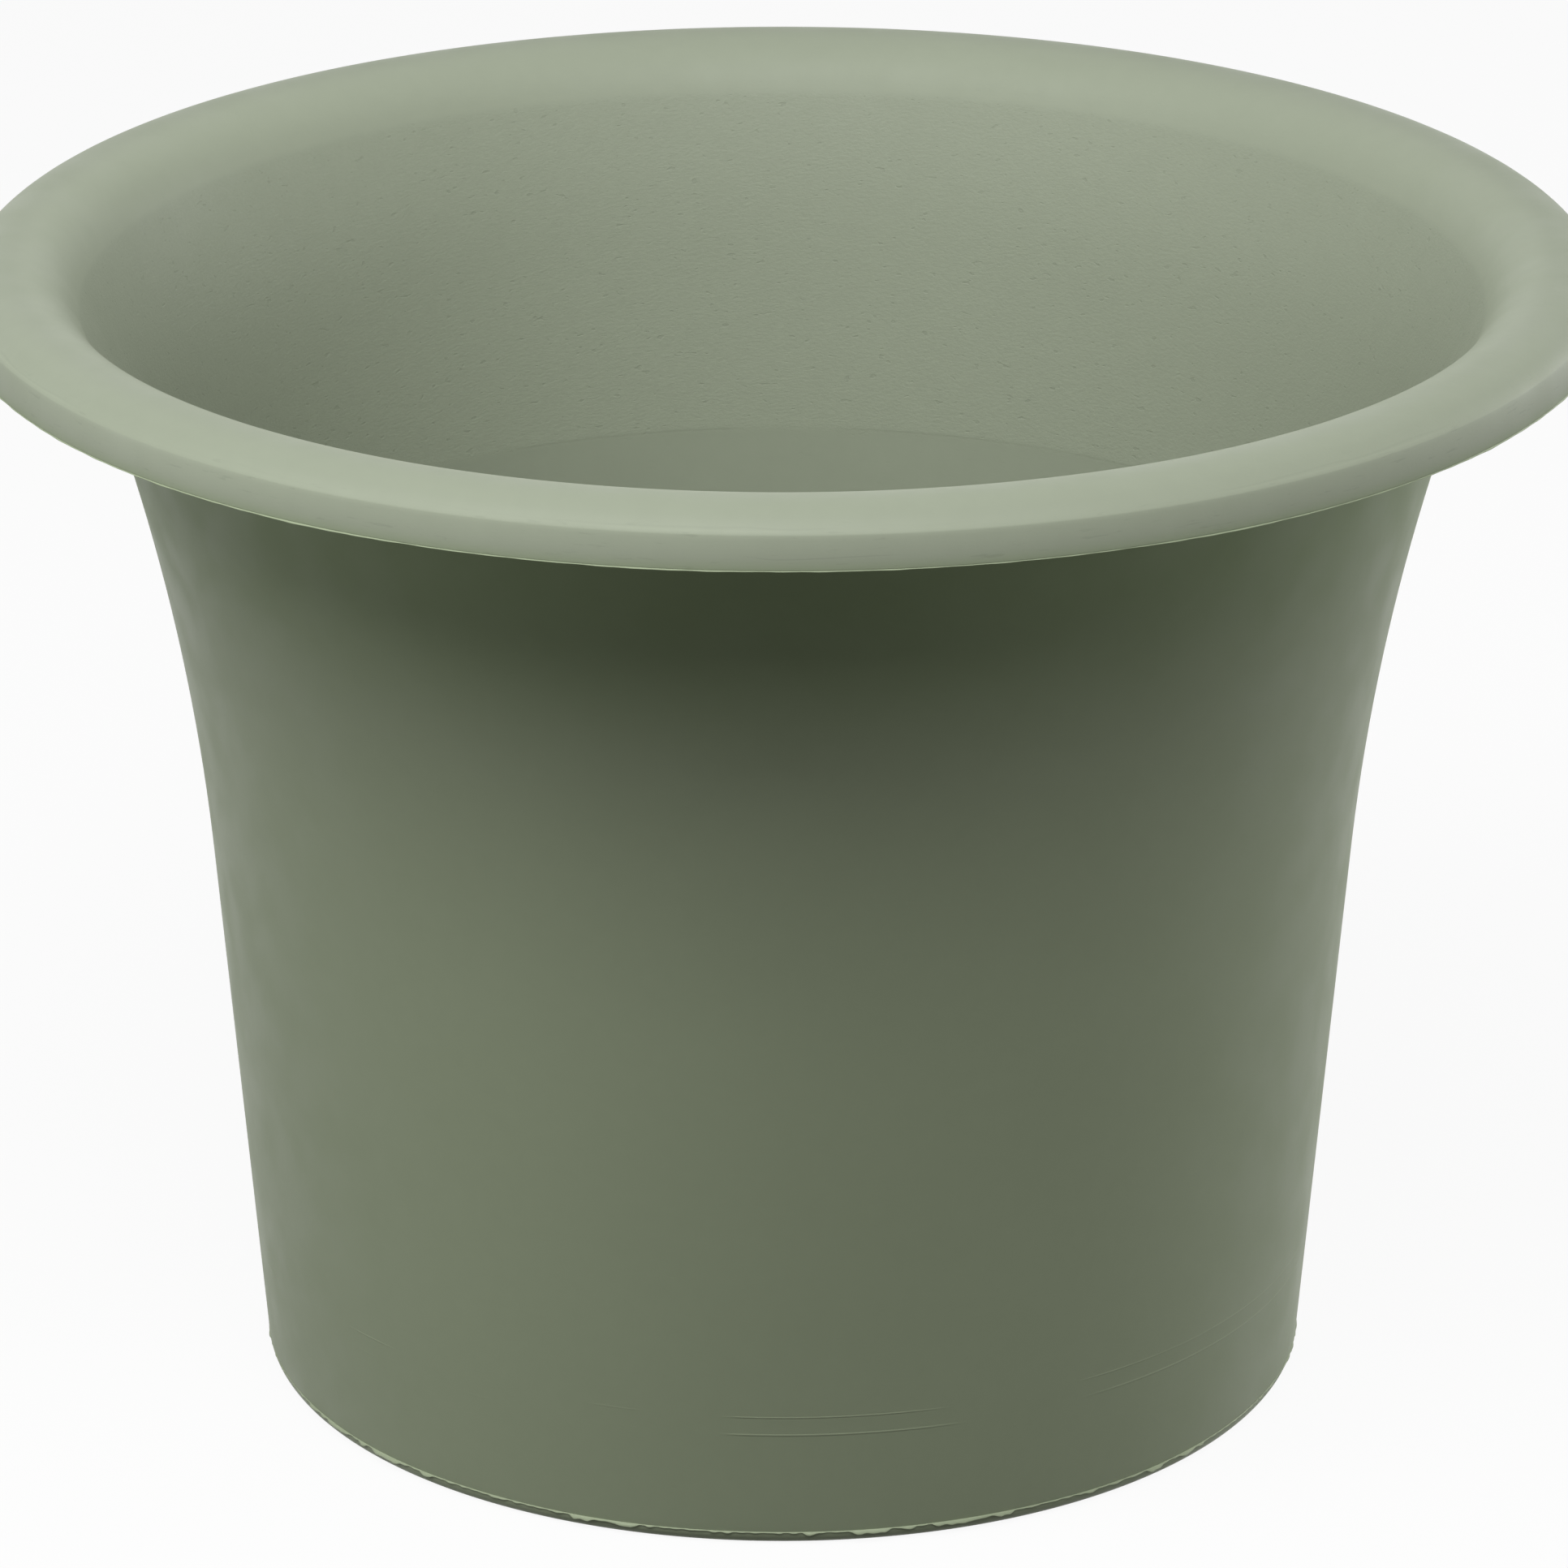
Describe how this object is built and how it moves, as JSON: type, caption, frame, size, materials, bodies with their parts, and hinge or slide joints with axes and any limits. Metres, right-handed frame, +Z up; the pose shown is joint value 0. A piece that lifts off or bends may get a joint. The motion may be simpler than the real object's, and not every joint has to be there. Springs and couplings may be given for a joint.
{
  "type": "planter",
  "caption": "Round floor planter with a straight tapered wall, a flared neck, a wide rolled rim and push-in drain plugs in the floor.",
  "frame": {"origin": "centre of the base, on the plane the foot ring stands on", "axes": "+Z up along the planter's axis of revolution, -Y towards the viewer's side"},
  "size_m": [0.5079, 0.508, 0.365],
  "materials": {
    "shell_resin": "matte",
    "plug_resin": "satin"
  },
  "bodies": {
    "pot": {"pot_shell": "shell_resin"},
    "plug_1": {"drain_plug_1": "plug_resin"},
    "plug_2": {"drain_plug_2": "plug_resin"},
    "plug_3": {"drain_plug_3": "plug_resin"},
    "plug_4": {"drain_plug_4": "plug_resin"}
  },
  "joints": [
    {"name": "plug_1_lift", "type": "slide", "parent": "pot", "child": "plug_1", "axis": [0, 0, 1], "range_m": [0, 0.375]},
    {"name": "plug_2_lift", "type": "slide", "parent": "pot", "child": "plug_2", "axis": [0, 0, 1], "range_m": [0, 0.375]},
    {"name": "plug_3_lift", "type": "slide", "parent": "pot", "child": "plug_3", "axis": [0, 0, 1], "range_m": [0, 0.375]},
    {"name": "plug_4_lift", "type": "slide", "parent": "pot", "child": "plug_4", "axis": [0, 0, 1], "range_m": [0, 0.375]}
  ]
}
